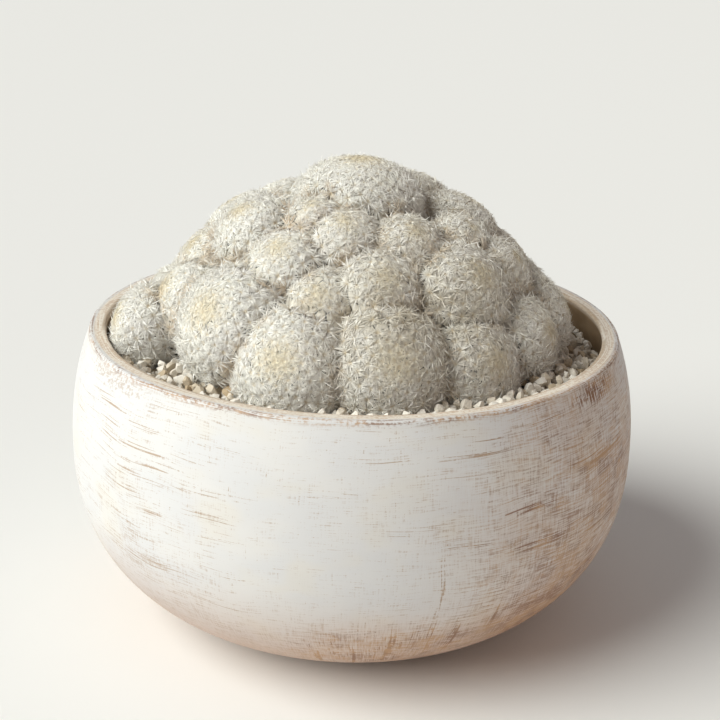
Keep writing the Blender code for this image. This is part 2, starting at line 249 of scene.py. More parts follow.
def drawn_out(tree, space, around, along_wall, seed, detail=2.0):
    """Noise from 0 to 1 with marks of a size in mm around and along the wall."""
    sizes = (1 / (around * MM), 1 / (around * MM), 1 / (along_wall * MM))
    scaled = add(tree, "ShaderNodeVectorMath", [space, sizes, (seed, 2 * seed, 3 * seed)],
                 operation="MULTIPLY_ADD")
    return add(tree, "ShaderNodeTexNoise", {"Vector": scaled, "Scale": 1.0, "Detail": detail})


def between(tree, value, low, high):
    """A smooth rise from 0 at the low value to 1 at the high one."""
    return add(tree, "ShaderNodeMapRange", [value, low, high], interpolation_type="SMOOTHSTEP")


def worn_place(tree, space, azimuth, distance, half_around, half_along):
    """A soft oval at an azimuth in degrees and a distance in mm below the lip's edge."""
    turn = math.radians(azimuth)
    middle = (BOWL_RADIUS * math.sin(turn), -BOWL_RADIUS * math.cos(turn), distance * MM)
    sizes = (1 / (half_around * MM), 1 / (half_around * MM), 1 / (half_along * MM))
    apart = add(tree, "ShaderNodeVectorMath", [space, middle], operation="SUBTRACT")
    scaled = add(tree, "ShaderNodeVectorMath", [apart, sizes], operation="MULTIPLY")
    length = add(tree, "ShaderNodeVectorMath", [scaled], out=1, operation="LENGTH")
    return between(tree, length, 1.0, 0.2)


def math_chain(tree, operation, masks):
    """One value after another, joined by the same operation."""
    result = masks[0]
    for mask in masks[1:]:
        result = add(tree, "ShaderNodeMath", [result, mask], operation=operation)
    return result


def times(tree, *masks):
    return math_chain(tree, "MULTIPLY", masks)


def most(tree, *masks):
    return math_chain(tree, "MAXIMUM", masks)


def most_worn(tree, space, places):
    return most(tree, *[worn_place(tree, space, *place) for place in places])


def total(tree, *shares):
    """The sum of values, each with its share."""
    return math_chain(tree, "ADD", [times(tree, value, share) for value, share in shares])


def mixed(tree, share, first, second):
    """The first colour, with a share of the second over it."""
    return add(tree, "ShaderNodeMix", {0: share, 6: first, 7: second}, out=2, data_type="RGBA")


paint, tree, surface = new_material("dry-brushed white paint rubbed back to brown")
space, distance = paint_space(tree)
warp = add(tree, "ShaderNodeTexNoise", {"Vector": space, "Scale": 22.0, "Detail": 1.0}, out=1)
warp = add(tree, "ShaderNodeVectorMath", [warp, (0.5, 0.5, 0.5)], operation="SUBTRACT")
warp = add(tree, "ShaderNodeVectorMath", {0: warp, 3: 7 * MM}, operation="SCALE")
brushed = add(tree, "ShaderNodeVectorMath", [space, warp], operation="ADD")

# Brush lines around the wall (weft) and along it (warp), fine ones and long ones
weft = drawn_out(tree, brushed, around=7, along_wall=0.42, seed=11, detail=3.0)
warp_lines = drawn_out(tree, brushed, around=0.48, along_wall=5, seed=23, detail=3.0)
long_weft = drawn_out(tree, brushed, around=26, along_wall=0.38, seed=17, detail=4.0)
long_warp = drawn_out(tree, brushed, around=0.7, along_wall=22, seed=31)
crumbs = drawn_out(tree, brushed, around=1.2, along_wall=1.0, seed=29)
patches = drawn_out(tree, space, around=20, along_wall=12, seed=3, detail=1.0)
broad = drawn_out(tree, space, around=46, along_wall=30, seed=8, detail=1.0)

right_side = worn_place(tree, space, *RIGHT_SIDE)
right_lip = worn_place(tree, space, *RIGHT_LIP)
left_lip = worn_place(tree, space, *LEFT_LIP)
left_low = worn_place(tree, space, *LEFT_LOW)
left_side = worn_place(tree, space, *LEFT_SIDE)
foot_front = worn_place(tree, space, *FOOT_FRONT)
foot_right = worn_place(tree, space, *FOOT_RIGHT)
streaks = most_worn(tree, space, STREAKS)
left_streaks = most_worn(tree, space, LEFT_STREAKS)
scratches = most_worn(tree, space, SCRATCHES)

# Each kind of wear: a crossed weave, long strokes, upright scratches, ticks and specks by the lip
low_linen = between(tree, distance, *LINEN_BAND)
linen = total(tree, (weft, 0.6), (warp_lines, 0.4), (low_linen, 0.07), (patches, 0.13), (broad, 0.09),
              (right_side, 0.10), (foot_right, 0.05), (foot_front, 0.06), (left_low, 0.045))
linen = between(tree, linen, *LINEN_SHOWS)
strokes = total(tree, (long_weft, 0.86), (warp_lines, 0.08), (crumbs, 0.16), (patches, 0.12), (broad, 0.08),
                (streaks, 0.12), (left_streaks, 0.07), (right_side, 0.03), (left_side, 0.05),
                (left_low, 0.05), (foot_front, 0.055), (foot_right, 0.05))
strokes = between(tree, strokes, *STROKES_SHOW)
combed = total(tree, (long_warp, 0.6), (weft, 0.18), (crumbs, 0.22), (scratches, 0.14), (foot_front, 0.10),
               (right_side, 0.035))
combed = between(tree, combed, *COMBED_SHOWS)
ticks = total(tree, (warp_lines, 0.7), (weft, 0.25), (right_lip, 0.22))
ticks = times(tree, between(tree, ticks, *TICKS_SHOW), right_lip)
specks = total(tree, (crumbs, 0.6), (weft, 0.3), (left_lip, 0.16), (left_low, 0.05))
specks = times(tree, between(tree, specks, *SPECKS_SHOW), most(tree, left_lip, left_low))
edge = times(tree, between(tree, distance, *EDGE_BELOW), between(tree, distance, *EDGE_ABOVE))
edge_breaks = between(tree, total(tree, (long_weft, 0.6), (crumbs, 0.4)), *EDGE_SHOWS)
edge_wear = times(tree, edge, edge_breaks)

# Bare brown where the paint is gone, and white paint with cooler and creamier places, a tan wash that is
# partly painted shade and warm reflection, and painted shade darkening towards the foot
hue = between(tree, drawn_out(tree, space, around=9, along_wall=6, seed=41), 0.4, 0.6)
brown = mixed(tree, hue, BROWN, TAN)
brown = mixed(tree, between(tree, most(tree, right_side, foot_front, edge), 0.05, 0.55), PALE_TAN, brown)
tone = between(tree, drawn_out(tree, space, around=30, along_wall=14, seed=53), 0.35, 0.65)
white = mixed(tree, times(tree, tone, 0.6), PAINT, COOL_PAINT)
cream = between(tree, drawn_out(tree, space, around=26, along_wall=18, seed=59), 0.5, 0.68)
white = mixed(tree, times(tree, cream, 0.55), white, CREAM_PAINT)
# A tan wash, partly the paint's own tint and partly painted shade and warm reflection, on the right side
# and low down
wash_and_shade = most(tree, times(tree, foot_right, 0.85), times(tree, foot_front, 0.75),
            times(tree, right_side, 0.7), times(tree, between(tree, distance, *WASH_AND_SHADE_BAND), 0.6))
thin_paint = total(tree, (broad, 0.25), (weft, 0.4), (warp_lines, 0.35))
wash_and_shade = times(tree, wash_and_shade, between(tree, thin_paint, 0.3, 0.58))
white = mixed(tree, wash_and_shade, white, RUBBED_TAN_AND_SHADE)
# Painted shade and warm reflection: the paint darkens and warms towards the foot and at the right of the
# foot
low = total(tree, (between(tree, distance, *LOW_SHADE_BAND), 0.55), (foot_right, 0.3))
white = mixed(tree, low, white, PAINTED_LOW_SHADE)
worn = most(tree, times(tree, linen, LINEN_DEPTH), times(tree, strokes, STROKES_DEPTH),
            times(tree, combed, COMBED_DEPTH), times(tree, ticks, TICKS_DEPTH),
            times(tree, specks, SPECKS_DEPTH), times(tree, edge_wear, EDGE_DEPTH))
outside = mixed(tree, worn, white, brown)

# The lip is cream, and rubbed tan along its inner edge; the inside is brown, mottled with tan
on_lip = between(tree, distance, *LIP_BAND)
outside = mixed(tree, on_lip, outside, mixed(tree, times(tree, edge_breaks, 0.5), LIP_CREAM, TAN))
inner_edge = between(tree, distance, *INNER_EDGE_BAND)
rubs = between(tree, drawn_out(tree, space, around=24, along_wall=3, seed=47), 0.36, 0.5)
rubbed_edge = times(tree, inner_edge, rubs, 0.6)
outside = mixed(tree, rubbed_edge, outside, LIP_TAN)
inside = between(tree, distance, *INSIDE_BAND)
mottle = between(tree, drawn_out(tree, space, around=20, along_wall=9, seed=61, detail=3.0), 0.35, 0.7)
stained = mixed(tree, mottle, INSIDE, LIP_TAN)
colour = mixed(tree, inside, outside, stained)
tree.links.new(colour, surface.inputs["Base Color"])
surface.inputs["Roughness"].default_value = 0.62
grooves = total(tree, (weft, 0.5), (warp_lines, 0.5), (worn, 0.6))
bump = add(tree, "ShaderNodeBump", {"Strength": 0.3, "Distance": 0.2 * MM, "Height": grooves}, invert=True)
tree.links.new(bump, surface.inputs["Normal"])
painted_bowl.data.materials.clear()
painted_bowl.data.materials.append(paint)
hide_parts("bowl")
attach(painted_bowl, "root")

# Soil. Open cactus compost under the gravel, poured loose, so it is dull, dark and crumbly.
DARK_COMPOST = srgb("#2E2119")
PALE_COMPOST = srgb("#6B5440")
compost, tree, surface = new_material("dry cactus compost")
place = add(tree, "ShaderNodeTexCoord", out=3)
clods = add(tree, "ShaderNodeTexNoise", {"Vector": place, "Scale": 400.0, "Detail": 4.0})
tree.links.new(mixed(tree, clods, DARK_COMPOST, PALE_COMPOST), surface.inputs["Base Color"])
surface.inputs["Roughness"].default_value = 0.95
bump = add(tree, "ShaderNodeBump", {"Strength": 0.8, "Distance": 1 * MM, "Height": clods})
tree.links.new(bump, surface.inputs["Normal"])
soil_mesh = frame["nodes"]["soil"].data
soil_mesh.materials.clear()
soil_mesh.materials.append(compost)

# Heads. Round stems crowded into one mound. Each is a ball of grey-green nipples in spiral rows,
# squashed where it meets the next and narrowing to a foot, and almost hidden by its spines.
MOUND_X = -2 * MM
ROOT_SPREAD = 0.45
AXIS_DEPTH = 26 * MM
GRAVEL_LEVEL = LIP_HEIGHT - 10 * MM
GAP = 0.3 * MM
SWELL = 1.3
FOOT_SHARE = 0.6
SKIN_BALLS = 15
NIPPLE_PITCH = 5.2 * MM
YOUNG_PITCH = 0.56
YOUNG_ANGLE = math.radians(60)
FIRST_RING = 0.35
NIPPLE_LIMIT = math.radians(150)
FOOT_PITCH = 2.2
LAST_ANGLE = math.pi * 0.96
TIP_SHARE, SHOULDER_SHARE = 0.42, 0.58
SLOPE_STEP = 0.04
TIP_SINK = 1.4 * MM
SHOULDER_SINK = 1.7 * MM
GROOVE_SINK = 2.4 * MM
OPEN_AIR = -0.4 * MM
CREVICE = 2.5 * MM
GOLDEN_ANGLE = math.pi * (3 - math.sqrt(5))
WOOL = srgb("#EFE8DA")
BARE_FLESH_IN_SHADE = srgb("#5F605C")

# Each head: its name, azimuth in degrees, distance out from the mound's middle, height over the
# lip and radius where it meets its neighbours, in mm, and the share that its height is flattened to
HEADS = (
    ("crown", 60, 2.5, 44.6, 18.6, 0.755),
    ("upper_1", -28, 27, 43, 9, 0.78),
    ("upper_2", -4, 31, 38, 11.5, 0.78),
    ("upper_3", 32, 36, 35, 12, 0.78),
    ("upper_4", 66, 42, 35, 9.5, 0.78),
    ("upper_5", 102, 40, 34, 13, 0.78),
    ("upper_6", 141, 34.5, 38.5, 13, 0.78),
    ("upper_7", 178, 31, 36, 13, 0.78),
    ("upper_8", -134, 34, 34.5, 13, 0.78),
    ("upper_9", -106, 40.5, 31, 13.3, 0.78),
    ("upper_10", -64, 38, 36, 12.5, 0.78),
    ("middle_1", -31, 42, 30, 12.5, 0.78),
    ("middle_2", -11, 49, 20, 12.5, 0.78),
    ("middle_3", 12, 47, 25, 13, 0.78),
    ("middle_4", 46, 51, 22, 16, 0.78),
    ("middle_5", 73, 53.5, 23.5, 12, 0.8),
    ("middle_6", 100, 53, 19.5, 14, 0.78),
    ("middle_7", 126, 49, 20, 14, 0.78),
    ("middle_8", 152, 48, 18, 14, 0.78),
    ("middle_9", 180, 46, 20, 13, 0.78),
    ("middle_10", -155, 48, 19, 14, 0.78),
    ("middle_11", -128, 49, 18, 13.5, 0.78),
    ("middle_12", -101, 52.3, 17.5, 13.5, 0.78),
    ("middle_13", -80, 49.5, 22.5, 13, 0.78),
    ("base_1", -40, 58, 11, 17.5, 0.9),
    ("base_2", -17, 61, 3, 18, 0.84),
    ("base_3", 12, 61, 4, 17.5, 0.84),
    ("base_4", 40, 63, 1, 15.5, 0.84),
    ("base_5", 64, 65, 4, 13.5, 0.9),
    ("base_6", 84, 67, 5, 13, 0.9),
    ("base_7", 107, 65, 4, 14.5, 0.84),
    ("base_8", 130, 61, 3, 15, 0.84),
    ("base_9", 152, 59, 2, 14.5, 0.84),
    ("base_10", 174, 59, 3, 15.5, 0.84),
    ("base_11", -163, 59, 2, 14.5, 0.84),
    ("base_12", -140, 61, 3, 15, 0.84),
    ("base_13", -117, 63, 2, 14.5, 0.84),
    ("base_14", -95, 64, 3, 13, 0.84),
    ("base_15", -68, 59, 11.5, 14, 0.84),
    ("base_16", -73, 75, 3, 12.5, 0.84),
)


class Head:
    """One head's form: a flattened ball with a foot, cut by planes where heads meet."""

    def __init__(self, name, azimuth, spread, height, radius, flatness):
        turn = math.radians(azimuth)
        across = Vector((math.sin(turn), -math.cos(turn), 0)) * (spread * MM)
        middle = Vector((MOUND_X, 0, 0))
        self.name = name
        centre = middle + across + Vector((0, 0, LIP_HEIGHT + height * MM))
        source = middle + Vector((0, 0, LIP_HEIGHT - AXIS_DEPTH))
        axis = (centre - source).normalized()
        side = axis.cross(Vector((0, 1, 0.01))).normalized()
        root = middle + across * ROOT_SPREAD + Vector((0, 0, GRAVEL_LEVEL + GAP))
        self.reach = radius * MM
        self.radius = self.reach * SWELL
        self.centre = np.array(centre)
        self.axes = np.array([side, axis.cross(side), axis])
        self.sizes = np.array([1, 1, flatness]) * self.radius
        self.root = self.axes @ (np.array(root) - self.centre) / self.sizes
        self.planes = [(np.array([0, 0, -1.0]), -GRAVEL_LEVEL - GAP)]

    def meet(self, other):
        """Adds the plane on which this head meets another, half a gap short of it."""
        apart = other.centre - self.centre
        span = self.centre @ self.centre - self.reach**2
        other_span = other.centre @ other.centre - other.reach**2
        length = np.linalg.norm(apart)
        self.planes.append((apart / length, (other_span - span) / (2 * length) - GAP / 2))

    def steps(self, units):
        """Unit directions in the head's own frame as steps in space, from its centre."""
        return (units * self.sizes) @ self.axes

    def skin(self, units):
        """How far the uncut head reaches each way: the ball, and smaller balls down to its foot."""
        best = np.ones(len(units))
        for share in np.linspace(0, 1, SKIN_BALLS)[1:]:
            middle = self.root * share
            ahead = units @ middle
            inside = ahead**2 - middle @ middle + (1 - share * (1 - FOOT_SHARE)) ** 2
            out = ahead + np.sqrt(np.maximum(inside, 0))
            best = np.where(inside > 0, np.maximum(best, out), best)
        return best

    def limit(self, units):
        """How far each way the nearest plane lies."""
        steps = self.steps(units)
        best = np.full(len(units), np.inf)
        for normal, offset in self.planes:
            towards = steps @ normal
            room = offset - normal @ self.centre
            with np.errstate(divide="ignore", invalid="ignore"):
                best = np.where(towards > 1e-9, np.minimum(best, room / towards), best)
        return best

    def points(self, units, sink):
        """Places on the cut head, sunk below its skin by a depth."""
        reach = np.minimum(self.skin(units) - sink / self.radius, self.limit(units))
        return self.centre + self.steps(units) * reach[:, None]

    def outward(self, units, sink):
        """Directions square to the surface, from two short steps along it."""
        helper = np.where(np.abs(units[:, 2:]) < 0.9, [0, 0, 1], [1, 0, 0])
        east = np.cross(helper, units)
        east /= np.linalg.norm(east, axis=1)[:, None]
        sides = []
        for aside in (east, np.cross(units, east)):
            near = units + aside * SLOPE_STEP
            near /= np.linalg.norm(near, axis=1)[:, None]
            sides.append(self.points(near, sink) - self.points(units, sink))
        normal = np.cross(*sides)
        normal *= np.sign((normal * self.steps(units)).sum(axis=1))[:, None]
        return normal / np.linalg.norm(normal, axis=1)[:, None]

    def clearance(self, places):
        """How far outside this head's skin each place lies, in metres."""
        local = (places - self.centre) @ self.axes.T / self.sizes
        length = np.linalg.norm(local, axis=1)
        return (length - self.skin(local / length[:, None])) * self.radius


def spiral_rows(radius):
    """Unit directions in spiral rows round +Z, closer together on the young crown."""
    units = []
    polar = FIRST_RING * NIPPLE_PITCH * YOUNG_PITCH / radius
    while polar < LAST_ANGLE:
        turn = len(units) * GOLDEN_ANGLE
        ring = math.sin(polar)
        units.append((ring * math.cos(turn), ring * math.sin(turn), math.cos(polar)))
        young = YOUNG_PITCH + (1 - YOUNG_PITCH) * min(1, polar / YOUNG_ANGLE)
        below = 1 if polar < NIPPLE_LIMIT else FOOT_PITCH
        area = (NIPPLE_PITCH * young * below) ** 2 * math.sqrt(3) / 2
        polar += area / (2 * math.pi * radius**2 * math.sin(polar))
    units.append((0, 0, -1))
    return np.array(units)


def flesh_mesh(head, units):
    """Nipples as small domes, each from its tip over a ring of shoulders to the grooves."""
    hull = bmesh.new()
    verts = [hull.verts.new(unit) for unit in units]
    bmesh.ops.convex_hull(hull, input=verts)
    hull.faces.ensure_lookup_table()
    hull.faces.index_update()
    corners = np.array([face.calc_center_median().normalized() for face in hull.faces])
    rings = []
    for vert in verts:
        middle = vert.co.normalized()
        east = middle.orthogonal().normalized()
        north = middle.cross(east)
        spread = []
        for face in vert.link_faces:
            aim = face.calc_center_median() - middle
            spread.append((math.atan2(aim.dot(north), aim.dot(east)), face.index))
        rings.append([index for _, index in sorted(spread)])
    hull.free()
    shoulders = np.array([units[i] * TIP_SHARE + corners[index] * SHOULDER_SHARE
                          for i, ring in enumerate(rings) for index in ring])
    shoulders /= np.linalg.norm(shoulders, axis=1)[:, None]
    places = np.concatenate([head.points(units, TIP_SINK), head.points(corners, GROOVE_SINK),
                             head.points(shoulders, SHOULDER_SINK)])
    faces = []
    first = first_shoulder = len(units) + len(corners)
    for i, ring in enumerate(rings):
        for k, index in enumerate(ring):
            after = (k + 1) % len(ring)
            here, there = first + k, first + after
            faces.append((i, here, there))
            faces.append((here, len(units) + index, len(units) + ring[after], there))
        first += len(ring)
    mesh = bpy.data.meshes.new("flesh_" + head.name)
    mesh.from_pydata(places.tolist(), [], faces)
    mesh.shade_smooth()
    sunk = np.zeros(len(places))
    sunk[len(units):first_shoulder] = 1
    mesh.attributes.new("sunk", "FLOAT", "POINT").data.foreach_set("value", sunk)
    return mesh


flesh, tree, surface = new_material("grey-green cactus flesh with woolly grooves")
place = add(tree, "ShaderNodeTexCoord", out=3)
mottle = add(tree, "ShaderNodeTexNoise", {"Vector": place, "Scale": 260.0, "Detail": 3.0})
sunk = add(tree, "ShaderNodeAttribute", out=2, attribute_name="sunk")
# Dark bare flesh shows between the wool, most in the sunk grooves, partly the flesh's colour and partly
# painted shade
bare_and_shade = between(tree, total(tree, (sunk, 0.5), (mottle, 1.0)), 0.84, 0.98)
tree.links.new(mixed(tree, bare_and_shade, WOOL, BARE_FLESH_IN_SHADE), surface.inputs["Base Color"])
surface.inputs["Roughness"].default_value = 0.7

heads = [Head(*row) for row in HEADS]
for head in heads:
    for other in heads:
        if other is not head:
            head.meet(other)

# Each head's flesh, and its woolly spots that have open air over them, with the room around each
areoles = {}
for head in heads:
    units = spiral_rows(head.radius)
    piece = bpy.data.objects.new("flesh_" + head.name, flesh_mesh(head, units))
    bpy.context.scene.collection.objects.link(piece)
    piece.data.materials.append(flesh)
    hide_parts("head_" + head.name)
    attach(piece, "root")
    polar = np.arccos(np.clip(units[:, 2], -1, 1))
    spots = head.points(units, TIP_SINK + 0.1 * MM)
    outward = head.outward(units, TIP_SINK)
    keep = (polar < NIPPLE_LIMIT) & (spots[:, 2] > GRAVEL_LEVEL + 2 * GAP)
    room = np.full(len(units), np.inf)
    for other in heads:
        if other is not head:
            keep &= other.clearance(spots + outward * MM) > OPEN_AIR
            room = np.minimum(room, other.clearance(spots + outward * CREVICE))
    areoles[head.name] = (spots[keep], outward[keep], polar[keep], room[keep])

# Spines. Each woolly spot carries a flat star of soft white spines, which lap over the next stars.
# Young ones at a head's top are shorter and straw yellow. Each is one sliver, wider than in life
# because it stands for a real spine with the fine hairs along it.
SPINES_PER_STAR = 69
SPINE_LENGTH = 5.3 * MM
SPINE_HALF_WIDTH = 0.027
SPINE_WAIST = 0.36
SPINE_ARCH = 0.085
SPINE_SIZES = (0.6, 1.15)
YOUNG_SIZE = 0.55
TURN_JITTER = 0.05
LIFT_ANGLES = (-0.02, 0.36)
LIFT_POWER = 1.6
STRAY_LIFT = 0.5
STRAY_POWER = 14.0
YOUNG_LIFT = 0.1
SPINE_SEED = 7
LOST_STARS = 0.05
LOST_IN_CREASES = 0.36
OLD_WHITE = srgb("#FFFDF6")
OLD_GREY = srgb("#F8F5F0")
YOUNG_STRAW = srgb("#EFE4CA")
CREVICE_SHADE_TAN = srgb("#D3B893")
SHADE_GREY = srgb("#CFC5B2")
FOOT_TAN = srgb("#DECBA6")
CROWN_SHADE = 0.3

# How much painted shade greys the spines, across the mound from left to right, and upwards from the lip
SHADE_ACROSS = ((-25 * MM, 10 * MM, 32 * MM, 60 * MM), (0.05, 0.85, 0.85, 0.5))
SHADE_UPWARDS = ((-2 * MM, 8 * MM, 24 * MM, 38 * MM), (0.2, 0.7, 1.0, 0.45))


def spine_shape():
    """One bent spine along +Z, one unit long: a sliver pointed at both ends, raised at its waist."""
    corners = [(0, 0, 0), (SPINE_ARCH, -SPINE_HALF_WIDTH, SPINE_WAIST),
               (SPINE_ARCH, SPINE_HALF_WIDTH, SPINE_WAIST), (0, 0, 1)]
    mesh = bpy.data.meshes.new("spine_shape")
    mesh.from_pydata(corners, [], [(0, 1, 2), (3, 2, 1), (0, 3, 1), (0, 2, 3)])
    reach = mesh.attributes.new("reach", "FLOAT", "POINT")
    reach.data.foreach_set("value", [height for _, _, height in corners])
    return bpy.data.objects.new("spine_shape", mesh)


def named_input(tree, name, kind, default=None):
    """An input of a node group, with its default value if it has one."""
    socket = tree.interface.new_socket(name=name, in_out="INPUT", socket_type=kind)
    if default is not None:
        socket.default_value = default


def star_tree(shape, material):
    """Points in, stars out: every point becomes a ring of bent spines."""
    tree = bpy.data.node_groups.new("Spine stars", "GeometryNodeTree")
    named_input(tree, "Geometry", "NodeSocketGeometry")
    named_input(tree, "Spines per star", "NodeSocketInt", SPINES_PER_STAR)
    named_input(tree, "Spine length", "NodeSocketFloat", SPINE_LENGTH)
    named_input(tree, "Seed", "NodeSocketInt", SPINE_SEED)
    tree.interface.new_socket(name="Geometry", in_out="OUTPUT", socket_type="NodeSocketGeometry")
    given = tree.nodes.new("NodeGroupInput").outputs

    one_spine = add(tree, "GeometryNodeObjectInfo", {"Object": shape}, out="Geometry")
    points = add(tree, "GeometryNodeMeshToPoints", [given["Geometry"]])
    copies = tree.nodes.new("GeometryNodeDuplicateElements")
    copies.domain = "POINT"
    tree.links.new(points, copies.inputs["Geometry"])
    tree.links.new(given["Spines per star"], copies.inputs["Amount"])
    outward = add(tree, "GeometryNodeInputNamedAttribute", ["outward"], data_type="FLOAT_VECTOR")
    aside = add(tree, "GeometryNodeInputNamedAttribute", ["aside"], data_type="FLOAT_VECTOR")
    growth = add(tree, "GeometryNodeInputNamedAttribute", ["growth"], data_type="FLOAT")
    around = add(tree, "ShaderNodeVectorMath", [outward, aside], operation="CROSS_PRODUCT")
    step = add(tree, "ShaderNodeMath", [copies.outputs[1], given["Spines per star"]], operation="DIVIDE")
    jitter = add(tree, "FunctionNodeRandomValue", {2: -TURN_JITTER, 3: TURN_JITTER, 8: given["Seed"]},
                 out=1)
    turn = add(tree, "ShaderNodeMath", [step, jitter], operation="ADD")
    turn = add(tree, "ShaderNodeMath", [turn, 2 * math.pi], operation="MULTIPLY")
    seed_2 = add(tree, "ShaderNodeMath", [given["Seed"], 1.0], operation="ADD")
    lift = add(tree, "FunctionNodeRandomValue", {2: 0.0, 3: 1.0, 8: seed_2}, out=1)
    stray = add(tree, "ShaderNodeMath", [lift, STRAY_POWER], operation="POWER")
    lift = add(tree, "ShaderNodeMath", [lift, LIFT_POWER], operation="POWER")
    lift = add(tree, "ShaderNodeMapRange", [lift, 0.0, 1.0, *LIFT_ANGLES])
    lift = add(tree, "ShaderNodeMath", [stray, STRAY_LIFT, lift], operation="MULTIPLY_ADD")
    settled = add(tree, "ShaderNodeMapRange", [growth, YOUNG_SIZE, 1.0, YOUNG_LIFT, 1.0])
    lift = add(tree, "ShaderNodeMath", [lift, settled], operation="MULTIPLY")
    cosine = add(tree, "ShaderNodeMath", [turn], operation="COSINE")
    sine = add(tree, "ShaderNodeMath", [turn], operation="SINE")
    level = add(tree, "ShaderNodeMath", [lift], operation="COSINE")
    rise = add(tree, "ShaderNodeMath", [lift], operation="SINE")
    east = add(tree, "ShaderNodeVectorMath", {0: aside, 3: cosine}, operation="SCALE")
    north = add(tree, "ShaderNodeVectorMath", {0: around, 3: sine}, operation="SCALE")
    flat = add(tree, "ShaderNodeVectorMath", [east, north], operation="ADD")
    flat = add(tree, "ShaderNodeVectorMath", {0: flat, 3: level}, operation="SCALE")
    up = add(tree, "ShaderNodeVectorMath", {0: outward, 3: rise}, operation="SCALE")
    towards = add(tree, "ShaderNodeVectorMath", [flat, up], operation="ADD")
    facing = add(tree, "FunctionNodeAxesToRotation", [towards, outward],
                 primary_axis="Z", secondary_axis="X")
    seed_3 = add(tree, "ShaderNodeMath", [given["Seed"], 2.0], operation="ADD")
    size = add(tree, "FunctionNodeRandomValue", {2: SPINE_SIZES[0], 3: SPINE_SIZES[1], 8: seed_3},
               out=1)
    size = add(tree, "ShaderNodeMath", [size, growth], operation="MULTIPLY")
    size = add(tree, "ShaderNodeMath", [size, given["Spine length"]], operation="MULTIPLY")
    spines = add(tree, "GeometryNodeInstanceOnPoints",
                 {"Points": copies.outputs[0], "Instance": one_spine, "Rotation": facing, "Scale": size})
    spines = add(tree, "GeometryNodeRealizeInstances", [spines])
    spines = add(tree, "GeometryNodeSetMaterial", {"Geometry": spines, "Material": material})
    end = tree.nodes.new("NodeGroupOutput")
    tree.links.new(spines, end.inputs[0])
    return tree


def grown(name, seed_mesh, tree, values):
    """What a tree grows from a mesh of points, as a plain mesh object."""
    source = bpy.data.objects.new(name, seed_mesh)
    bpy.context.scene.collection.objects.link(source)
    growing = source.modifiers.new("Grow", "NODES")
    growing.node_group = tree
    for item in tree.interface.items_tree:
        if item.in_out == "INPUT" and item.name in values:
            growing[item.identifier] = values[item.name]
    return plain_copy(source, name)


spine, tree, surface = new_material("soft white feathered spines")
age = add(tree, "ShaderNodeAttribute", out=2, attribute_name="age")
reach = add(tree, "ShaderNodeAttribute", out=2, attribute_name="reach")
tint = add(tree, "ShaderNodeAttribute", out=2, attribute_name="tint")
crowded = add(tree, "ShaderNodeAttribute", out=2, attribute_name="crowded")
grown_share = between(tree, age, 0.0, 0.34)
old_white = mixed(tree, tint, OLD_WHITE, OLD_GREY)
blade = mixed(tree, grown_share, YOUNG_STRAW, old_white)
# Painted shade: spines of stars tucked into crevices between heads are tinted warm tan
blade = mixed(tree, times(tree, crowded, 0.6), blade, CREVICE_SHADE_TAN)
place = add(tree, "ShaderNodeTexCoord", out=3)
# Painted shade: the spines are greyed in blotches, most on the middle and right of the mound, less on the
# crown
weathered = add(tree, "ShaderNodeAttribute", out=2, attribute_name="weathered")
shade_blotches = add(tree, "ShaderNodeTexNoise", {"Vector": place, "Scale": 170.0, "Detail": 2.0})
shade_blotches = times(tree, weathered, between(tree, shade_blotches, 0.15, 0.65))
blade = mixed(tree, shade_blotches, blade, SHADE_GREY)
foot = times(tree, between(tree, reach, 0.34, 0.0), 0.75)
colour = mixed(tree, foot, blade, FOOT_TAN)
tree.links.new(colour, surface.inputs["Base Color"])
surface.inputs["Roughness"].default_value = 0.75

one_spine = spine_shape()
stars = star_tree(one_spine, spine)
draws = random.Random(SPINE_SEED)


def keep_values(mesh, **values):
    """Stores one number for each point of a mesh, under its name."""
    for name, numbers in values.items():
        mesh.attributes.new(name, "FLOAT", "POINT").data.foreach_set("value", numbers)


def keep_vectors(mesh, **vectors):
    """Stores one vector for each point of a mesh, under its name."""
    for name, rows in vectors.items():
        attribute = mesh.attributes.new(name, "FLOAT_VECTOR", "POINT")
        attribute.data.foreach_set("vector", np.array(rows).ravel())


for number, head in enumerate(heads):
    spots, outward, polar, room = areoles[head.name]
    risks = np.where(room < 0, LOST_IN_CREASES, LOST_STARS)
    left = np.array([draws.random() >= risk for risk in risks])
    spots, outward, polar, room = (part[left] for part in (spots, outward, polar, room))
    mesh = bpy.data.meshes.new("areoles_" + head.name)
    mesh.from_pydata(spots.tolist(), [], [])
    aside = []
    for normal in outward:
        aim = Vector((draws.gauss(0, 1), draws.gauss(0, 1), draws.gauss(0, 1)))
        aside.append(aim.cross(Vector(normal)).normalized())
    # Painted shade for each star, from its place across and up the mound
    weathered = np.interp(spots[:, 0], *SHADE_ACROSS)
    weathered *= np.interp(spots[:, 2] - LIP_HEIGHT, *SHADE_UPWARDS)
    weathered *= CROWN_SHADE if head.name == "crown" else 1
    keep_vectors(mesh, outward=outward, aside=aside)
    keep_values(mesh, growth=np.clip(YOUNG_SIZE + (1 - YOUNG_SIZE) * polar / YOUNG_ANGLE, 0, 1),
                age=polar / (math.pi / 2), weathered=weathered, tint=[draws.random() for _ in polar],
                crowded=np.clip(1 - room / CREVICE, 0, 1))
    piece = grown("spines_" + head.name, mesh, stars, {"Seed": SPINE_SEED + 3 * number})
    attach(piece, "root")
bpy.data.objects.remove(one_spine, do_unlink=True)

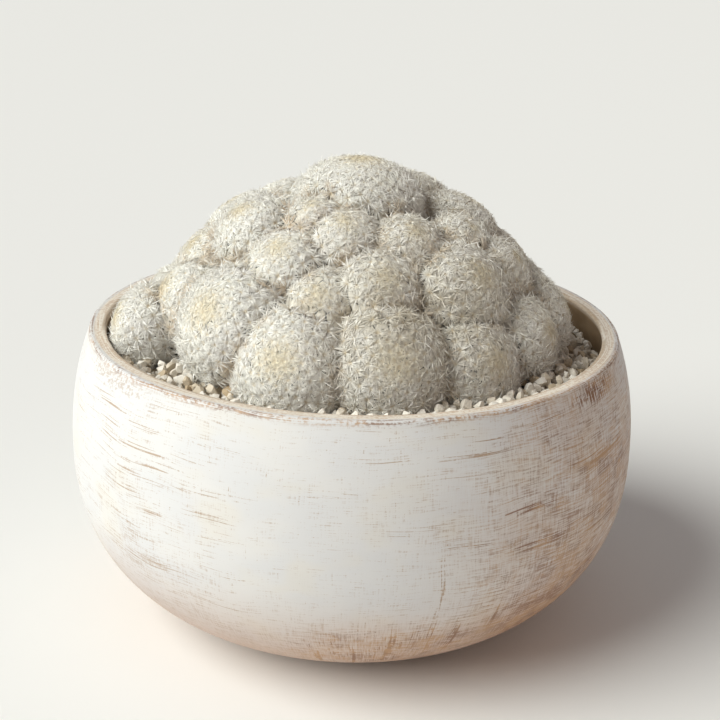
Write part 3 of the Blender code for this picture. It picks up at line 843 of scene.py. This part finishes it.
# Gravel. Crushed pale pumice, sieved to 3 to 5 mm, poured over the soil round the plant: angular,
# dull and porous, mostly cream with some tan stones, over dark dust that is partly painted shade.
# Each layer of stones has its height over the bed's level and how many places are tried for a stone.
GRAIN_RADIUS = (1.7 * MM, 2.9 * MM)
GRAIN_SPACING = 3.2 * MM
GRAIN_LAYERS = ((0.4 * MM, 7000), (2.6 * MM, 5000), (4.6 * MM, 2200))
GRAIN_SHAPES = 6
GRAIN_POINTS = 20
GRAIN_SQUASH = ((0.65, 0.95), (0.55, 0.85))
GRAIN_UNEVEN = (0.82, 1.1)
GRAIN_SEED = 5
OPEN_AREA = 0.35
BED_DROP = 0.6 * MM
BED_RINGS = 8
BED_STEPS = 96
HOLLOW_DEPTH = 5.5 * MM
HOLLOW_TURN = math.radians(22)
HOLLOW_START, HOLLOW_END = 50 * MM, 88 * MM
PALE_DUST = srgb("#A89A86")
DARK_DUST_AND_SHADE = srgb("#6E5F4A")
PUMICE_SHADES = ((0.0, "#F7F1E7"), (0.6, "#F0E8DC"), (0.88, "#E0D3BF"), (1.0, "#B9A282"))
PUMICE_BLOTCH = srgb("#B8A88F")
BLOTCH_DEPTH = 0.25
fill_radius = wall_radius(LIP_HEIGHT - GRAVEL_LEVEL) - WALL - GAP


def hollow(x, y):
    """How much lower the gravel lies where it has settled, towards the back of the right side."""
    along = x * math.cos(HOLLOW_TURN) + y * math.sin(HOLLOW_TURN)
    share = min(max((along - HOLLOW_START) / (HOLLOW_END - HOLLOW_START), 0), 1)
    return HOLLOW_DEPTH * share * share * (3 - 2 * share)


bed_top = GRAVEL_LEVEL - BED_DROP
bed_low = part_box("gravel")[0][2]
outline = [(fill_radius * step / BED_RINGS, bed_top) for step in range(BED_RINGS + 1)]
bed = turned_piece("gravel_bed", outline + [(fill_radius, bed_low), (0, bed_low)], BED_STEPS)
for vertex in bed.data.vertices:
    if vertex.co.z > bed_top - GAP:
        vertex.co.z -= hollow(vertex.co.x, vertex.co.y)
dust_and_shade, tree, surface = new_material("pumice dust and grit")
place = add(tree, "ShaderNodeTexCoord", out=3)
grit = add(tree, "ShaderNodeTexVoronoi", {"Vector": place, "Scale": 700.0})
# The bed is darker than pumice dust: partly dust and grit, partly painted shade between and under the
# stones
tree.links.new(mixed(tree, grit, PALE_DUST, DARK_DUST_AND_SHADE), surface.inputs["Base Color"])
surface.inputs["Roughness"].default_value = 0.95
bump = add(tree, "ShaderNodeBump", {"Strength": 1.0, "Distance": 0.8 * MM, "Height": grit}, invert=True)
tree.links.new(bump, surface.inputs["Normal"])
bed.data.materials.append(dust_and_shade)
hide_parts("gravel")
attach(bed, "root")

pumice, tree, surface = new_material("crushed pale pumice")
place = add(tree, "ShaderNodeTexCoord", out=3)
shade = add(tree, "ShaderNodeAttribute", out=2, attribute_name="shade")
pores = add(tree, "ShaderNodeTexNoise", {"Vector": place, "Scale": 1500.0, "Detail": 3.0})
blotch = add(tree, "ShaderNodeTexNoise", {"Vector": place, "Scale": 350.0, "Detail": 2.0})
ramp = tree.nodes.new("ShaderNodeValToRGB")
stops = ramp.color_ramp.elements
stops[0].color = srgb(PUMICE_SHADES[0][1])
stops[1].color = srgb(PUMICE_SHADES[-1][1])
for position, code in PUMICE_SHADES[1:-1]:
    stops.new(position).color = srgb(code)
tree.links.new(shade, ramp.inputs[0])
mottled = add(tree, "ShaderNodeMapRange", [blotch, 0.35, 0.7, 0.0, BLOTCH_DEPTH])
colour = mixed(tree, mottled, ramp.outputs[0], PUMICE_BLOTCH)
tree.links.new(colour, surface.inputs["Base Color"])
surface.inputs["Roughness"].default_value = 0.9
bump = add(tree, "ShaderNodeBump", {"Strength": 0.7, "Distance": 0.3 * MM, "Height": pores})
tree.links.new(bump, surface.inputs["Normal"])


def grain_shape(name, draws):
    """An angular chip: the hull of a few points scattered on an uneven ball."""
    mesh = bmesh.new()
    squash = Vector((1, draws.uniform(*GRAIN_SQUASH[0]), draws.uniform(*GRAIN_SQUASH[1])))
    for _ in range(GRAIN_POINTS):
        aim = Vector((draws.gauss(0, 1), draws.gauss(0, 1), draws.gauss(0, 1))).normalized()
        mesh.verts.new(Vector([a * b for a, b in zip(aim, squash)]) * draws.uniform(*GRAIN_UNEVEN))
    hull = bmesh.ops.convex_hull(mesh, input=mesh.verts[:])
    bmesh.ops.delete(mesh, geom=hull["geom_interior"], context="VERTS")
    bmesh.ops.recalc_face_normals(mesh, faces=mesh.faces[:])
    data = bpy.data.meshes.new(name)
    mesh.to_mesh(data)
    mesh.free()
    return data


def grain_tree(shapes, material):
    """Points in, chips out: one of the shapes at every point, turned at random."""
    tree = bpy.data.node_groups.new("Poured chips", "GeometryNodeTree")
    named_input(tree, "Geometry", "NodeSocketGeometry")
    named_input(tree, "Smallest radius", "NodeSocketFloat", GRAIN_RADIUS[0])
    named_input(tree, "Largest radius", "NodeSocketFloat", GRAIN_RADIUS[1])
    named_input(tree, "Seed", "NodeSocketInt", GRAIN_SEED)
    tree.interface.new_socket(name="Geometry", in_out="OUTPUT", socket_type="NodeSocketGeometry")
    given = tree.nodes.new("NodeGroupInput").outputs
    chips = add(tree, "GeometryNodeCollectionInfo", [shapes, True, True])
    points = add(tree, "GeometryNodeMeshToPoints", [given["Geometry"]])
    turned = add(tree, "FunctionNodeRandomValue", {1: (2 * math.pi,) * 3, 8: given["Seed"]},
                 data_type="FLOAT_VECTOR")
    radius = add(tree, "FunctionNodeRandomValue",
                 {2: given["Smallest radius"], 3: given["Largest radius"], 8: given["Seed"]}, out=1)
    seed_2 = add(tree, "ShaderNodeMath", [given["Seed"], 1.0], operation="ADD")
    shade = add(tree, "FunctionNodeRandomValue", {2: 0.0, 3: 1.0, 8: seed_2}, out=1)
    grains = add(tree, "GeometryNodeInstanceOnPoints",
                 {"Points": points, "Instance": chips, "Pick Instance": True, "Rotation": turned,
                  "Scale": radius})
    grains = add(tree, "GeometryNodeStoreNamedAttribute", {0: grains, 2: "shade", 3: shade},
                 domain="INSTANCE")
    grains = add(tree, "GeometryNodeRealizeInstances", [grains])
    grains = add(tree, "GeometryNodeSetMaterial", {"Geometry": grains, "Material": material})
    end = tree.nodes.new("NodeGroupOutput")
    tree.links.new(grains, end.inputs[0])
    return tree


draws = random.Random(GRAIN_SEED)
shapes = bpy.data.collections.new("Chip shapes")
for number in range(GRAIN_SHAPES):
    name = f"chip_{number}"
    shapes.objects.link(bpy.data.objects.new(name, grain_shape(name, draws)))
places = []
for lift, tries in GRAIN_LAYERS:
    layer = []
    for _ in range(tries):
        spread = (fill_radius - GRAIN_RADIUS[1]) * math.sqrt(draws.uniform(OPEN_AREA, 1))
        turn = draws.uniform(0, 2 * math.pi)
        spot = np.array([spread * math.cos(turn), spread * math.sin(turn), GRAVEL_LEVEL + lift])
        near = [other for other in layer if abs(spot[0] - other[0]) < GRAIN_SPACING]
        if any(np.hypot(*(spot - other)[:2]) < GRAIN_SPACING for other in near):
            continue
        apart = [np.linalg.norm(head.axes @ (spot - head.centre) / head.sizes) for head in heads]
        if min(apart) > 1.0:
            layer.append(spot)
    places += layer
mesh = bpy.data.meshes.new("grain_places")
mesh.from_pydata([(x, y, z - hollow(x, y)) for x, y, z in places], [], [])
gravel = grown("gravel_grains", mesh, grain_tree(shapes, pumice), {"Seed": GRAIN_SEED})
for chip in list(shapes.objects):
    bpy.data.objects.remove(chip, do_unlink=True)
bpy.data.collections.remove(shapes)
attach(gravel, "root")

# Floor, light and camera. A plain pale floor, one big soft light from the left, a weak warm one
# from the right, a pale room, and the camera where the photograph was taken.
FLOOR_HALF = 6.0
PAPER = srgb("#F4F2EF")
ROOM = srgb("#F4F4F6")
ROOM_STRENGTH = 0.24
floor_mesh = bpy.data.meshes.new("studio_floor")
floor_mesh.from_pydata([(-FLOOR_HALF, -FLOOR_HALF, 0), (FLOOR_HALF, -FLOOR_HALF, 0),
                        (FLOOR_HALF, FLOOR_HALF, 0), (-FLOOR_HALF, FLOOR_HALF, 0)], [], [(0, 1, 2, 3)])
studio_floor = bpy.data.objects.new("studio_floor", floor_mesh)
bpy.context.scene.collection.objects.link(studio_floor)
paper, tree, surface = new_material("matt studio paper")
surface.inputs["Base Color"].default_value = PAPER
surface.inputs["Roughness"].default_value = 0.9
floor_mesh.materials.append(paper)


def sun(name, azimuth, elevation, strength, spread, colour):
    """A broad distant light from an azimuth left or right of the camera, in degrees."""
    lamp = bpy.data.lights.new(name, "SUN")
    lamp.energy = strength
    lamp.angle = math.radians(spread)
    lamp.color = srgb(colour)[:3]
    obj = bpy.data.objects.new(name, lamp)
    turn, rise = math.radians(azimuth), math.radians(elevation)
    level = math.cos(rise)
    from_side = Vector((math.sin(turn) * level, -math.cos(turn) * level, math.sin(rise)))
    obj.rotation_euler = from_side.to_track_quat("Z", "Y").to_euler()
    bpy.context.scene.collection.objects.link(obj)


sun("window_light", azimuth=-68, elevation=38, strength=3.6, spread=50, colour="#FBFFFB")
sun("warm_fill", azimuth=80, elevation=8, strength=0.22, spread=120, colour="#FFB678")
world = bpy.data.worlds.new("studio")
bpy.context.scene.world = world
world.use_nodes = True
sky = world.node_tree.nodes["Background"]
sky.inputs["Color"].default_value = ROOM
sky.inputs["Strength"].default_value = ROOM_STRENGTH

# The camera looks at the lip's centre, which lies at LIP_PIXEL in a picture of 720 by 720 pixels
CAMERA_DISTANCE = 540.16 * MM
CAMERA_RISE = 0.3268
CAMERA_ROLL = 0.028
FOCAL_PIXELS = 1443.88
PICTURE = 720
LIP_PIXEL = (354.63, 320.10)
back = Vector((0, -math.cos(CAMERA_RISE), math.sin(CAMERA_RISE)))
lens = bpy.data.cameras.new("camera")
lens.sensor_width = 36
lens.lens = lens.sensor_width * FOCAL_PIXELS / PICTURE
lens.shift_x = (PICTURE / 2 - LIP_PIXEL[0]) / PICTURE
lens.shift_y = (LIP_PIXEL[1] - PICTURE / 2) / PICTURE
lens.clip_start = 0.01
camera = bpy.data.objects.new("camera", lens)
facing = back.to_track_quat("Z", "Y").to_matrix() @ Matrix.Rotation(CAMERA_ROLL, 3, "Z")
seat = Vector((0, 0, LIP_HEIGHT)) + back * CAMERA_DISTANCE
camera.matrix_world = Matrix.Translation(seat) @ facing.to_4x4()
bpy.context.scene.collection.objects.link(camera)
bpy.context.scene.camera = camera
bpy.context.scene.view_settings.view_transform = "Standard"
